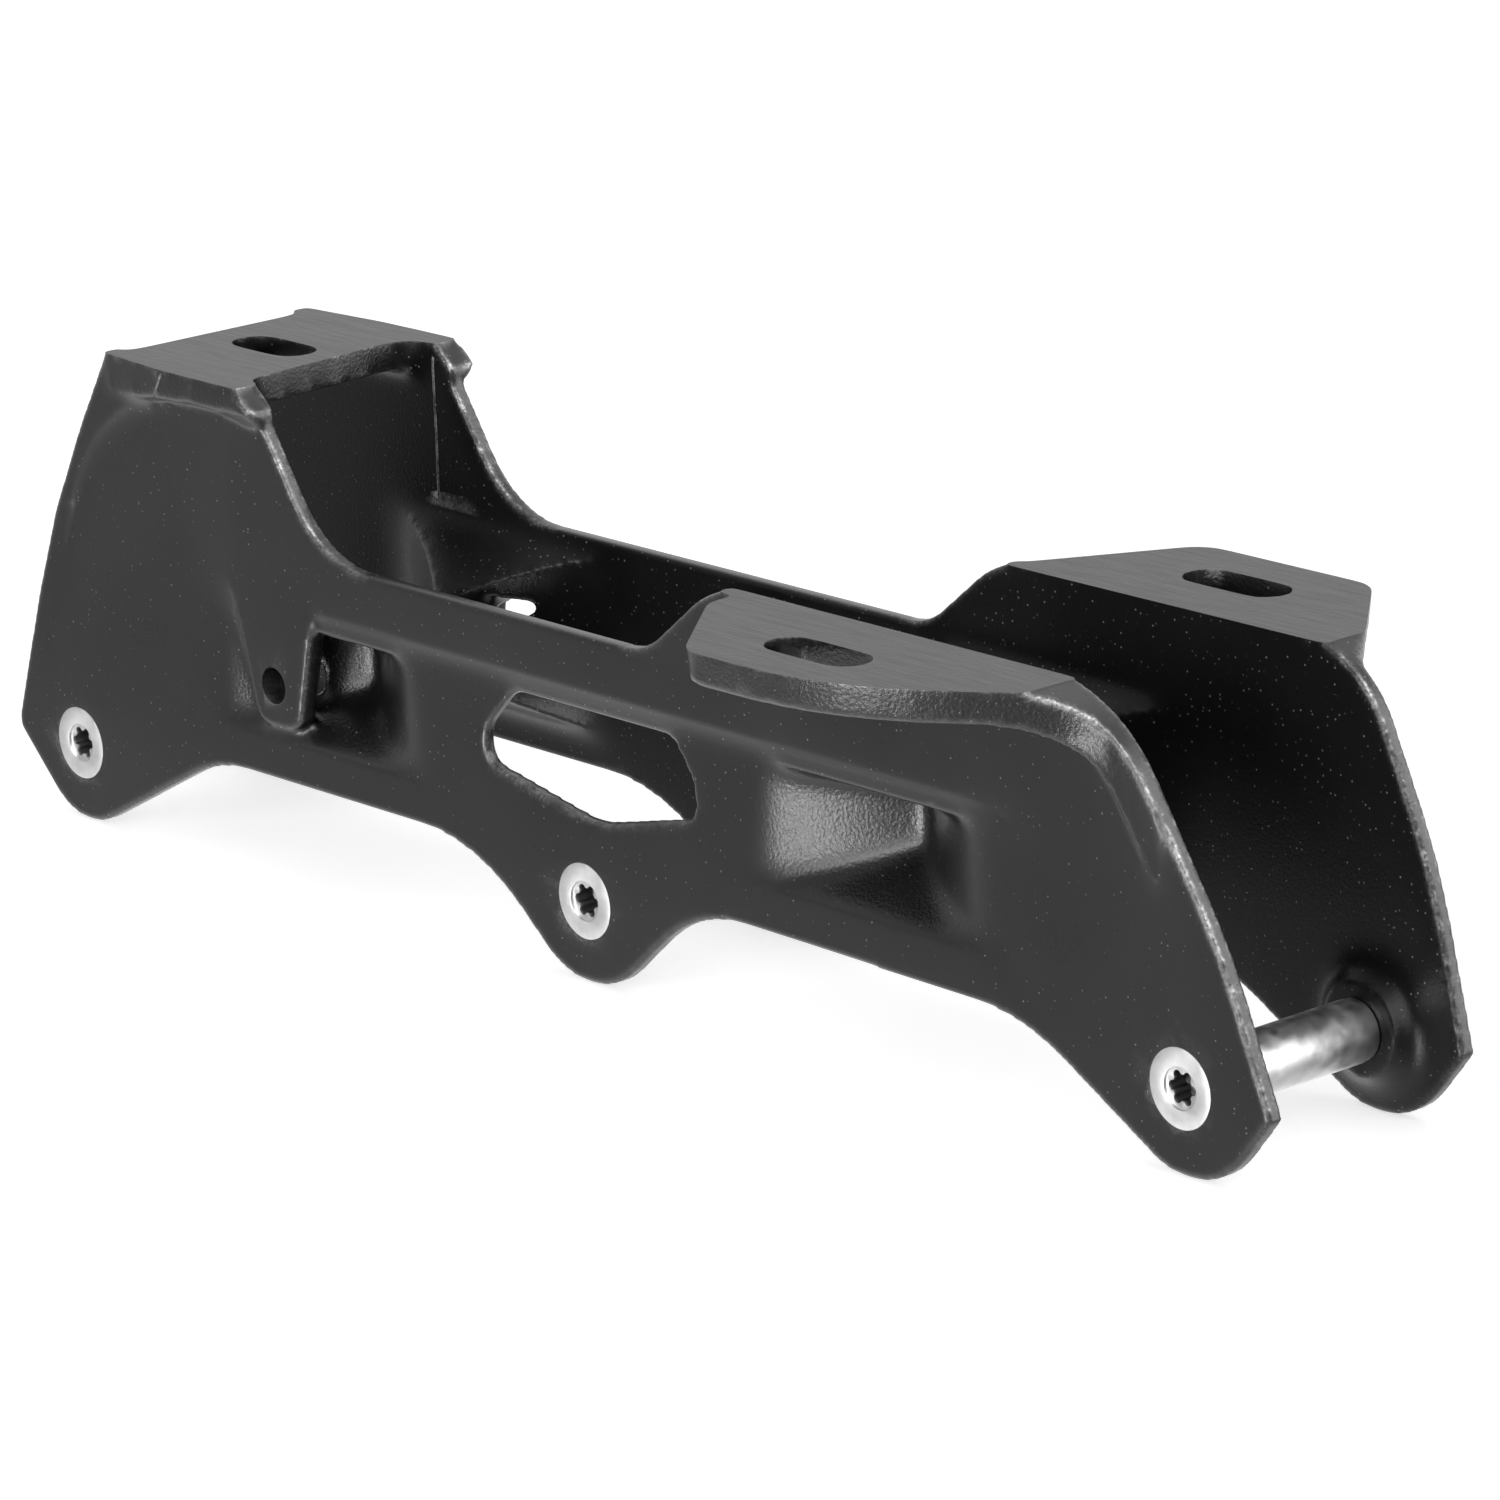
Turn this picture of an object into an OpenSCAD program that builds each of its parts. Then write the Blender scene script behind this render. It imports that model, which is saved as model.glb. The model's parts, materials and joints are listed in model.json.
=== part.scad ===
// Inline skate frame for three wheels, right foot.
// One-piece casting with a three-point boot mount and three single axles.
// X runs to the toe, Y to the inner side of the foot, Z up.
// Z = 0 is the level of the three axle lobes, so the frame stands on Z = 0.
// All heights below are measured from the axle line.

/* [Wheels and axles] */
// Distance between neighbouring axles
pitch = 107; // [105:0.5:110]
// Gap between the two inner bosses, the width of a wheel hub with spacers
hub_gap = 24.4; // [24:0.1:25]
// Diameter of the axle shaft
shaft_d = 8; // [7.6:0.1:8.2]
// Diameter of the axle head
head_d = 10; // [9.6:0.1:10.6]
// Thickness of the axle head
head_t = 2.4; // [2:0.1:2.8]
// Diameter of the threaded end of the axle
tip_d = 6; // [5:0.1:6.4]
// Length of the turned-down collar at the far end of the shaft
collar_len = 1.1; // [0.8:0.1:1.5]
// Point-to-point size of the six-lobe socket
socket_d = 4.5; // [4:0.1:5]
// Depth of the six-lobe socket
socket_depth = 3.2; // [2:0.1:4]
// Diameter of the shallow dish around the socket
dish_d = 5.4; // [5.2:0.1:6]
// Radial clearance between axle and frame
fit = 0.06; // [0.04:0.01:0.1]
// Axial play between the axle head and its seat
seat_gap = 0.1; // [0.05:0.05:0.2]

/* [Side walls] */
// Overall width over the two side walls
wall_span = 34.4; // [34:0.1:36]
// Thickness of a side wall
wall_t = 2.4; // [2.2:0.1:3]
// Distance from the axle line down to the bottom of a lobe
lobe_r = 10.9; // [10.5:0.1:11.5]
// Height of the low straight top edge of the walls
waist_h = 35.1; // [33:0.1:36]
// Height of the lower edge between the lobes
belly_h = 3.5; // [2:0.1:5]
// How far the walls reach beyond the end axles
end_reach = 14.7; // [14:0.1:17]
// Largest radius of an inner boss, where it grows out of the wall
boss_base_r = 8; // [7.5:0.1:9]
// Radius of the face of an inner boss
boss_face_r = 6; // [5.6:0.1:6.6]

/* [Heel tower] */
// Height of the heel mounting face
heel_h = 56.6; // [55:0.1:58]
// Thickness of the heel plate
heel_t = 4; // [3.6:0.1:5]
// Distance from the rear axle forward to the rear edge of the heel face
heel_back = 10.8; // [10:0.1:12]
// Length of the heel face along its walls
heel_len = 30.6; // [29:0.1:32]
// Set-back of the front edge of the heel plate at the outer wall
heel_set_outer = 2.7; // [2:0.1:4]
// Set-back of the front edge of the heel plate at the inner wall
heel_set_inner = 5.6; // [4:0.1:6]
// Set-back of the rear edge of the heel plate
heel_set_rear = 1.9; // [1.4:0.1:2.4]
// How far the top rim stands out at its front end
rim_out = 2.2; // [1:0.1:2.4]
// Height of the top rim
rim_h = 4.8; // [4:0.1:6]
// Depth of the field below the rim
field_depth = 1.1; // [0.6:0.1:1.2]
// Distance from the rear edge of the heel face to the middle of the heel slot
heel_slot_back = 15; // [14:0.1:16]

/* [Front flanges] */
// Height of the front mounting faces
toe_h = 45.6; // [44.5:0.1:46.5]
// Thickness of the front flanges
flange_t = 4.4; // [3.8:0.1:5]
// How far the flanges reach from the middle plane
flange_reach = 37.7; // [36:0.1:39]
// Middle of the outer-side slot
toe_slot_x = 57.7; // [56:0.1:59]
// Distance of the front slots from the middle plane
toe_slot_y = 27.4; // [26.5:0.1:28.5]
// How far the inner-side flange lies ahead of the outer-side one
stagger = 15.2; // [14:0.1:16]
// Distance from the outer-side slot back to the foot of the wall's rise
rise_back = 44.6; // [44:0.1:45.5]
// How far the inner-side wall rises to its flange ahead of the outer-side one
inner_rise = 17; // [15:0.1:18]

// Run of the wall's rise to a flange for each millimetre of height
rise_run = 1.25; // [1.1:0.05:1.4]
// Height of the stock that facing takes off the mounting faces
skim = 0.5; // [0.3:0.1:0.6]

/* [Slots and holes] */
// Width of the three mounting slots
slot_w = 6.6; // [6.2:0.1:7]
// Length of the front slots
toe_slot_len = 16.6; // [15:0.1:18]
// Length of the heel slot
heel_slot_len = 15; // [13:0.1:17]
// Diameter of the brake hole
brake_d = 5; // [4.6:0.1:5.4]
// Distance from the rear axle forward to the brake hole
brake_ahead = 44.4; // [43.5:0.1:45]
// Height of the brake hole
brake_h = 16.5; // [16:0.1:17]

/* [Side pockets] */
// Half length of a pocket along the wall
pocket_half = 25.4; // [24.8:0.1:26]
// Radius of the long pocket flanks
flank_r = 70; // [66:1:76]
// Radius that eases a flank into the wall
ease_r = 25; // [22:0.5:28]
// Angle over which a flank is eased into the wall
ease_turn = 22.1; // [21:0.1:23]
// Height of the lower lip of a pocket
lip_h = 9.2; // [8.5:0.1:10]
// Rise of the pocket floor for each millimetre inwards
floor_rise = 0.6; // [0.5:0.05:0.7]
// Height of the upper lip of a pocket
brow_h = 25.2; // [24.5:0.1:26]
// Height of the ridge that runs above the pockets
ridge_h = 28; // [27:0.1:28.5]
// Depth of the field below the ridge
ridge_depth = 0.8; // [0.4:0.1:1]
// How far the bead above a pocket stands out
bead_out = 0.4; // [0.2:0.1:0.6]
// Half thickness of the cross web between the walls
web_half = 3; // [2.5:0.1:3.5]
// Thickness of the brake tab
tab_t = 3; // [2.6:0.1:3.4]

/* [Hidden] */
$fn = 64;

arc_step = 7;
eps = 0.02;
over = 1;
wall_out = wall_span / 2;
wall_in = wall_out - wall_t;
boss_y = hub_gap / 2;
plate_half = wall_in + wall_t / 2;
half_length = pitch + end_reach;
heel_x0 = heel_back - pitch;
heel_x1 = heel_x0 + heel_len;
heel_top = heel_h + skim;
toe_top = toe_h + skim;
rise_x = toe_slot_x - rise_back;
rise_h = toe_top - waist_h;
pocket_x = pitch / 2;
flank_x = pocket_half + (flank_r - ease_r) * sin(ease_turn);
flank_y = wall_out - ease_r - (flank_r - ease_r) * cos(ease_turn);
apex_y = flank_y + sqrt(flank_r * flank_r - flank_x * flank_x);
brake_x = brake_ahead - pitch;
axle_x = [-pitch, 0, pitch];

// Corner b of an outline replaced by an arc of radius r
function unit(v) = v / norm(v);
function arc_at(m, r, a0, da, n) =
    [for (i = [0 : n]) m + r * [cos(a0 + da * i / n), sin(a0 + da * i / n)]];
function rounded(a, b, c, r) =
    let (u = unit(a - b), w = unit(c - b))
    let (h = acos(u * w) / 2, m = b + unit(u + w) * r / sin(h))
    let (s = b + u * r / tan(h) - m, e = b + w * r / tan(h) - m)
    let (a0 = atan2(s[1], s[0]), a1 = atan2(e[1], e[0]))
    let (da = (a1 - a0 + 900) % 360 - 180)
    arc_at(m, r, a0, da, max(1, ceil(abs(da) / arc_step)));
function xy(p) = [p[0], p[1]];
// Outline from corners [x, y, radius]; a corner without radius stays sharp
function outline(p) =
    let (n = len(p))
    [for (i = [0 : n - 1]) each len(p[i]) == 3
        ? rounded(xy(p[(i + n - 1) % n]), xy(p[i]), xy(p[(i + 1) % n]), p[i][2])
        : [p[i]]];
// Corner b with the radius that lets its arc just reach the bottom of a lobe
function lobe(a, b, c) =
    let (u = unit(a - b), w = unit(c - b))
    let (k = unit(u + w)[1] / sin(acos(u * w) / 2))
    [b[0], b[1], (lobe_r + b[1]) / (1 - k)];

// Wall outline below the top edge, from the front corner round to the heel corner
low_edge = [
    [half_length, -0.9, 0.9],
    lobe([half_length, -0.9], [pitch + 3.7, -14.3], [pitch - 26.8, belly_h - 0.7]),
    [pitch - 26.8, belly_h - 0.7, 32],
    [21.4, belly_h, 24],
    lobe([21.4, belly_h], [0.4, -15.1], [-21.8, belly_h]),
    [-21.8, belly_h, 31],
    [31.2 - pitch, belly_h, 26],
    lobe([31.2 - pitch, belly_h], [-pitch - 1.2, -13.3], [-half_length, 0.2]),
    [-half_length, 0.2, 2],
    [-pitch - 3.6, 33, 130],
    [heel_x0 + skim * 0.6, heel_top, 0.8]
];
// Wall top edge from the heel corner to the foot of the front flange
top_edge = [
    [heel_x1 - skim * 0.6, heel_top, 1],
    [heel_x1 + 14.2, waist_h, 17]
];
// Front edges: the outer side leans back, the inner side stands up more
outer_front = [[half_length - 25.9, toe_top, 22], [half_length - 7.6, 17.5, 60]];
inner_front = [[half_length - 16.5, toe_top, 15], [half_length - 5.3, 21.5, 70]];

// Plan outlines of the flanges, x counted from the middle of the slot, y outwards
outer_plan = [
    [-26.7, wall_in],
    [-26.7, 21.4, 4],
    [-12.5, flange_reach, 5],
    [12.3, flange_reach, 45],
    [36.3, wall_out + 2.5, 14],
    [48, wall_out],
    [48, wall_in]
];
inner_plan = [
    [-28.3, wall_in],
    [-15.7, flange_reach, 5],
    [12.9, flange_reach, 6],
    [31.1, wall_out],
    [31.1, wall_in]
];

module slab(y0, y1) {
    translate([0, y1, 0])
        rotate([90, 0, 0])
            linear_extrude(y1 - y0)
                children();
}

module upright(z0, z1) {
    translate([0, 0, z0])
        linear_extrude(z1 - z0)
            children();
}

module slot_2d(length, width) {
    square([length - width, width], center = true);
    for (s = [-1, 1])
        translate([s * (length - width) / 2, 0])
            circle(d = width);
}

module wall_2d(rise, front) {
    polygon(outline(concat(
        low_edge,
        top_edge,
        [[rise_x + rise, waist_h, rise_h], [rise_x + rise + rise_h * rise_run, toe_top, 1.4 * rise_h]],
        front
    )));
}

module window_2d() {
    polygon(outline([
        [-19.2, 14.6, 2.5],
        [2.2, 10.5, 16],
        [21.6, 15, 2.5],
        [21.4, 19.6, 4],
        [17.6, 24.8, 4],
        [-13.6, 24.8, 4],
        [-19.2, 19, 4]
    ]));
}

// Band that follows the top and front edge of the wall
module flange_band_2d(front) {
    a = front[0];
    b = front[1];
    d = unit(xy(b) - xy(a));
    t = flange_t + skim;
    k = t * tan(acos(d[0]) / 2);
    polygon(outline([
        [0, toe_top + over],
        xy(a) + over * [1, 1],
        xy(a) + d * 26 + over * [1, 0],
        xy(a) + d * 26 + t * [d[1], -d[0]],
        [a[0] - k, toe_top - t, a[2] - t],
        [0, toe_top - t]
    ]));
}

module flange(foot, rise, front, plan) {
    intersection() {
        slab(wall_in, flange_reach + over)
            intersection() {
                flange_band_2d(front);
                wall_2d(rise, front);
            }
        upright(0, toe_top + over)
            translate([toe_slot_x + foot, 0])
                polygon(outline(plan));
    }
}

// Edge of a flank, grow millimetres below its surface: the ease, then the long arc to the apex
function flank_edge(grow) =
    let (last = acos(flank_x / (flank_r - grow)))
    concat(
        arc_at([-pocket_half, wall_out - ease_r], ease_r - grow, 90, -ease_turn, 5),
        arc_at([-flank_x, flank_y], flank_r - grow, 90 - ease_turn, last + ease_turn - 90, 6)
    );

// Plan of a pocket between two flanks, closed at y1
module pocket_plan(grow, y1) {
    e = flank_edge(grow);
    n = len(e) - 1;
    lead = e[0] + 3 * unit(e[0] - e[1]);
    left = concat([[lead[0], y1], lead], [for (i = [1 : n]) if (i != 6) e[i]]);
    polygon(concat(left, [for (i = [len(left) - 2 : -1 : 0]) [-left[i][0], left[i][1]]]));
}

// Section of a pocket across the wall: low and high edges at the wall face, drop of the roof inwards
module pocket_section(low, high, drop) {
    rotate([90, 0, 90])
        linear_extrude(3 * pocket_half, center = true)
            polygon([
                [wall_out + over, low - over * floor_rise],
                [wall_out + over, high + over * drop],
                [-over, high - (wall_out + over) * drop],
                [-over, low + (wall_out + over) * floor_rise]
            ]);
}

module pocket_cut() {
    intersection() {
        upright(0, heel_h)
            pocket_plan(0, wall_out + over);
        pocket_section(lip_h, brow_h, 0.12);
    }
}

module pocket_bulge() {
    intersection() {
        upright(0, heel_h)
            pocket_plan(wall_t, plate_half);
        pocket_section(lip_h - wall_t, waist_h, 0.7);
    }
}

module cross_web() {
    translate([pocket_x - web_half, -apex_y - eps, lip_h + 8])
        cube([2 * web_half, 2 * (apex_y + eps), brow_h - lip_h - 9.4]);
}

// Raised bead just above a pocket, standing on the field below the ridge
module pocket_bead() {
    foot_y = wall_out - ridge_depth;
    intersection() {
        rotate([90, 0, 90])
            linear_extrude(2 * pocket_half, center = true)
                polygon([
                    [plate_half - over, brow_h - 0.2],
                    [foot_y, brow_h - 0.1],
                    [foot_y + bead_out, brow_h + 0.5],
                    [foot_y - eps, ridge_h - 1],
                    [plate_half - over, ridge_h - 1]
                ]);
        upright(0, heel_h)
            polygon([
                [-20, plate_half - over],
                [-20, foot_y - eps],
                [-13, foot_y + bead_out],
                [13, foot_y + bead_out],
                [20, foot_y - eps],
                [20, plate_half - over]
            ]);
    }
}

// Field below the ridge, deepest at the ridge and fading out downwards and at both ends
module ridge_field() {
    intersection() {
        rotate([90, 0, 90])
            linear_extrude(4 * pitch, center = true)
                polygon([
                    [wall_out, belly_h],
                    [wall_out - ridge_depth, ridge_h - 1.3],
                    [wall_out, ridge_h],
                    [wall_out + over, ridge_h],
                    [wall_out + over, belly_h]
                ]);
        upright(0, heel_h)
            polygon([
                [heel_x1 - 18, wall_out],
                [heel_x1 - 8, wall_out - ridge_depth],
                [toe_slot_x + 6, wall_out - ridge_depth],
                [toe_slot_x + 26, wall_out],
                [toe_slot_x + 26, wall_out + over],
                [heel_x1 - 18, wall_out + over]
            ]);
    }
}

// Field below the heel rim, deepest at the top rear and fading out downwards and forwards
module heel_field() {
    intersection() {
        rotate([90, 0, 90])
            linear_extrude(4 * pitch, center = true)
                polygon([
                    [wall_out, belly_h],
                    [wall_out - field_depth, heel_h],
                    [wall_out + over, heel_h],
                    [wall_out + over, belly_h]
                ]);
        slab(wall_in, wall_out + over)
            polygon(outline([
                [-pitch - 10.5, belly_h],
                [-pitch, 31.5, 60],
                [heel_x0 - 2.2, heel_h - rim_h - 0.9, 28],
                [heel_x1 - 6.4, heel_h - rim_h + 1.3, 30],
                [heel_x1 + 14, heel_h - rim_h - 2.4],
                [heel_x1 + 14, belly_h]
            ]));
        upright(0, heel_h)
            polygon([
                [-half_length, wall_out - field_depth],
                [heel_x0 + 6, wall_out - field_depth],
                [heel_x1 - 4, wall_out - 0.15 * field_depth],
                [heel_x1 + 16, wall_out],
                [heel_x1 + 16, wall_out + over],
                [-half_length, wall_out + over]
            ]);
    }
}

// Rim along the top of the tower, widest at its front end
module heel_rim() {
    intersection() {
        slab(wall_in, wall_out + rim_out)
            polygon(outline([
                [heel_x0 + 1, heel_top],
                [heel_x1 - 0.7, heel_top],
                [heel_x1 + 4, heel_h - rim_h + 1.4, 1.5],
                [heel_x1 + 2.6, heel_h - rim_h - 0.6, 1],
                [heel_x1 - 6.4, heel_h - rim_h + 1.3, 30],
                [heel_x0 - 2.2, heel_h - rim_h - 0.9]
            ]));
        upright(0, heel_top)
            polygon([
                [heel_x0 - 3, wall_in],
                [heel_x0, wall_out + 0.2],
                [heel_x0 + heel_slot_back, wall_out + rim_out * 0.7],
                [heel_x1 - 0.4, wall_out + rim_out],
                [heel_x1 + 4.6, wall_out + rim_out],
                [heel_x1 + 4.6, wall_in]
            ]);
        rotate([90, 0, 90])
            linear_extrude(4 * pitch, center = true)
                polygon([
                    [wall_in - over, heel_top],
                    [wall_out + rim_out * 0.6, heel_top],
                    [wall_out + rim_out, heel_h - 1.6],
                    [wall_out + rim_out, heel_h - 3],
                    [wall_out + rim_out * 0.3, heel_h - rim_h],
                    [wall_in - over, heel_h - rim_h - 1.5]
                ]);
    }
}

// The heel plate lies between the walls and is filleted into them
module heel_plate() {
    bite = 0.25;
    x0 = heel_x0 + 0.3;
    x1 = heel_x1 - 0.3;
    rear = heel_x0 + heel_set_rear;
    upright(heel_h - heel_t, heel_top)
        difference() {
            polygon(outline([
                [x0, -plate_half],
                [x0, -wall_in - bite],
                [rear, bite - wall_in, 1.2],
                [rear, wall_in - bite, 1.2],
                [x0, wall_in + bite],
                [x0, plate_half],
                [x1, plate_half],
                [x1, wall_in + bite],
                [heel_x1 - heel_set_inner, wall_in - bite, 4],
                [heel_x1 - heel_set_outer, bite - wall_in, 2],
                [x1, -wall_in - bite],
                [x1, -plate_half]
            ]));
            translate([heel_x0 + heel_slot_back, 0])
                slot_2d(heel_slot_len, slot_w);
        }
}

module brake_tab() {
    top = ridge_h + 1 - brake_h;
    translate([brake_x, 0, brake_h])
        slab(wall_out - tab_t, wall_out)
            polygon(outline([
                [-8.6, top],
                [-3.9, -5.6, 2.4],
                [5, -5.6, 2.6],
                [9.2, top]
            ]));
}

// Small opening through the front flank of the rear pocket
module flank_hole() {
    slab(0, wall_in - 1.6)
        polygon(outline([
            [-pocket_x + 5.3, brow_h - 2, 0.8],
            [-pocket_x + 9.2, brow_h - 2, 0.8],
            [-pocket_x + 12.3, brow_h + 0.1],
            [-pocket_x + 11.6, brow_h + 0.5],
            [-pocket_x + 5.3, brow_h + 1.1, 0.6]
        ]));
}

// Cone from the wall to the face of an inner boss
module boss() {
    rotate([90, 0, 0])
        translate([0, 0, -wall_in - eps])
            cylinder(r1 = boss_base_r, r2 = boss_face_r, h = wall_in + eps - boss_y);
}

module bore(d, y0, y1) {
    translate([0, y1, 0])
        rotate([90, 0, 0])
            cylinder(d = d, h = y1 - y0);
}

module half_frame(foot, rise, front, plan) {
    difference() {
        union() {
            difference() {
                union() {
                    slab(wall_in, wall_out)
                        wall_2d(rise, front);
                    for (s = [-1, 1])
                        translate([s * pocket_x, 0, 0])
                            pocket_bulge();
                }
                for (s = [-1, 1])
                    translate([s * pocket_x, 0, 0])
                        pocket_cut();
                ridge_field();
                heel_field();
                flank_hole();
            }
            flange(foot, rise, front, plan);
            heel_rim();
            brake_tab();
            for (s = [-1, 1])
                translate([s * pocket_x, 0, 0])
                    pocket_bead();
            for (x = axle_x)
                translate([x, 0, 0])
                    boss();
        }
        slab(wall_in - over, wall_out + over)
            window_2d();
        upright(0, heel_h)
            translate([toe_slot_x + foot, toe_slot_y])
                slot_2d(toe_slot_len, slot_w);
        translate([brake_x, 0, brake_h])
            bore(brake_d, 0, wall_out + over);
    }
}

module frame() {
    color("DimGray")
        translate([0, 0, lobe_r])
            difference() {
                union() {
                    mirror([0, 1, 0])
                        half_frame(0, 0, outer_front, outer_plan);
                    half_frame(stagger, inner_rise, inner_front, inner_plan);
                    heel_plate();
                    for (a = [0, 180])
                        rotate(a)
                            cross_web();
                }
                translate([-2 * pitch, -flange_reach, heel_h])
                    cube([2 * pitch, 2 * flange_reach, heel_t]);
                translate([0, -flange_reach - over, toe_h])
                    cube([2 * pitch, 2 * (flange_reach + over), flange_t]);
                for (x = axle_x)
                    translate([x, 0, 0]) {
                        bore(shaft_d + 2 * fit, -wall_out - over, -boss_y + over);
                        bore(head_d + 2 * fit, -wall_out - over, -wall_out + head_t + seat_gap);
                        bore(tip_d + 2 * fit, boss_y - over, wall_out + over);
                    }
            }
}

module star_2d() {
    circle(d = socket_d * 0.74);
    for (a = [0 : 60 : 300])
        rotate(a)
            translate([socket_d * 0.36, 0])
                circle(d = socket_d * 0.28);
}

module axle() {
    color("Silver")
        difference() {
            union() {
                bore(head_d, -wall_out, -wall_out + head_t);
                bore(shaft_d, -wall_out, boss_y - seat_gap - collar_len);
                bore(shaft_d - 0.3, 0, boss_y - seat_gap);
                bore(tip_d, 0, wall_out - over);
            }
            slab(-wall_out - over, -wall_out + socket_depth)
                star_2d();
            bore(dish_d, -wall_out - over, -wall_out + 0.4);
        }
}

module axle_front() {
    translate([pitch, 0, lobe_r])
        axle();
}

module axle_middle() {
    translate([0, 0, lobe_r])
        axle();
}

module axle_rear() {
    translate([-pitch, 0, lobe_r])
        axle();
}

frame();
axle_front();
axle_middle();
axle_rear();
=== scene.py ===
# %% [markdown]
# # An inline skate frame
# The part is a black aluminium casting that carries three wheels under a boot.
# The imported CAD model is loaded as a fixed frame: it gives the true size and place
# of every piece. Blender then adds what solid modelling leaves out: soft cast edges,
# the finish of the surfaces, light and a camera.

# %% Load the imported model
import json
import bmesh
import bpy
import numpy as np
from mathutils import Matrix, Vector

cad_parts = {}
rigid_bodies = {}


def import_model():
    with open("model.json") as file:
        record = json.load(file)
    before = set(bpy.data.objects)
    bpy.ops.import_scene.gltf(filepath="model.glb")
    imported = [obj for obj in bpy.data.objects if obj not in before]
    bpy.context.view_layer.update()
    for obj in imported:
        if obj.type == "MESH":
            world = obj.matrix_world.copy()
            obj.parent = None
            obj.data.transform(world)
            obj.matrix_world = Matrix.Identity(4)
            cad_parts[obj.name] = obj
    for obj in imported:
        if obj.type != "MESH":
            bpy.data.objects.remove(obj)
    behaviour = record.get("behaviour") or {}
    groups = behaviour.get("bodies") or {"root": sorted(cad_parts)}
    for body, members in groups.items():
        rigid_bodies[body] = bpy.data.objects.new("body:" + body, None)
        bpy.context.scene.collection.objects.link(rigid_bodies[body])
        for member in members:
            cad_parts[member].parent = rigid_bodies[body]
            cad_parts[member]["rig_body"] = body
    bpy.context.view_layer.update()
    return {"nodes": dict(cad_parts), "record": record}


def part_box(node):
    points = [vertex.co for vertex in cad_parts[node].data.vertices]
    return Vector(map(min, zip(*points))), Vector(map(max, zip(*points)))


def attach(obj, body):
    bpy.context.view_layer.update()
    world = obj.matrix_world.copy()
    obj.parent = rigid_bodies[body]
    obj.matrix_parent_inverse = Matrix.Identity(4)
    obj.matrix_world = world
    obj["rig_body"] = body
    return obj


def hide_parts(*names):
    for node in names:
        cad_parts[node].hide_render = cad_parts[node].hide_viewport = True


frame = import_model()
scene = bpy.context.scene
MM = 0.001

axle_nodes = ["axle_rear", "axle_middle", "axle_front"]
axle_boxes = np.array([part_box(name) for name in axle_nodes]) / MM
axle_x = axle_boxes[:, :, 0].mean(1)
axle_z = axle_boxes[:, :, 2].mean()
wall_y = -axle_boxes[0, 0, 1]
print("axles at X", np.round(axle_x, 2).tolist(), "and Z", round(axle_z, 2), "mm")
print("outer faces of the walls at", round(wall_y, 2), "mm to each side")

# %% [markdown]
# The camera stands in front of the toe, on the outer side, a little above the frame.
# A long lens from about a metre keeps the two walls almost parallel.
# Its place is given by a turn round the upright axis, a tilt, a roll and a distance,
# because these are the numbers that a photographer would change.

# %% Camera
view_turn = np.radians(49.126)
view_tilt = np.radians(16.250)
view_roll = np.radians(-2.037)
view_distance = 940.37 * MM
view_pan = np.array([-8.057, -15.527]) * MM
lens_mm = 176.36
sensor_mm = 36.0

back = np.array([
    np.sin(view_turn) * np.cos(view_tilt),
    -np.cos(view_turn) * np.cos(view_tilt),
    np.sin(view_tilt),
])
level = np.cross([0.0, 0.0, 1.0], back)
level /= np.linalg.norm(level)
upward = np.cross(back, level)
right = np.cos(view_roll) * level + np.sin(view_roll) * upward
up = np.cos(view_roll) * upward - np.sin(view_roll) * level
eye = back * view_distance - right * view_pan[0] - up * view_pan[1]
eye[2] += axle_z * MM

camera_data = bpy.data.cameras.new("camera")
camera_data.lens = lens_mm
camera_data.sensor_width = sensor_mm
camera = bpy.data.objects.new("camera", camera_data)
scene.collection.objects.link(camera)
placement = np.eye(4)
placement[:3, :4] = np.column_stack([right, up, back, eye])
camera.matrix_world = Matrix(placement.tolist())
scene.camera = camera
print("camera at", np.round(eye, 4).tolist(), "m")

# %% [markdown]
# The stage is a plain pale floor under a white surround. A Light Path node lets the
# camera see them as white, while the diffuse light on the part stays at a plain level.
# Black coated metal shows its form only by what it mirrors, and an even white shows
# little of it. So mirrored rays see soft boxes, as in a studio, and these are brighter
# than the white: a low one out from the outer side, one by the camera, one over the toe,
# one on its inner side, a wide one behind, and the pale table below. Each is a
# direction, the angles of its core and its reach, and its brightness.

# %% Surround
def node_maker(owner):
    """Empties the nodes of a material or world and returns a function that adds one node.

    A number given for a socket is set on that socket, and an output is linked to it.
    """
    tree = owner.node_tree
    tree.nodes.clear()

    def add(kind, inputs=(), **settings):
        node = tree.nodes.new("ShaderNode" + kind)
        for name, value in settings.items():
            setattr(node, name, value)
        for socket, value in dict(inputs).items():
            if isinstance(value, bpy.types.NodeSocket):
                tree.links.new(value, node.inputs[socket])
            else:
                node.inputs[socket].default_value = value
        return node

    return add


def calc(add, operation, *values, **settings):
    """The result of one Math node on the given values."""
    return add("Math", dict(enumerate(values)), operation=operation, **settings).outputs[0]


def seen_directly(add):
    """The Light Path outputs, and a socket that is 1 for rays from the camera or through glass."""
    path = add("LightPath").outputs
    return path, calc(add, "MAXIMUM", path["Is Camera Ray"], path["Is Transmission Ray"])


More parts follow.
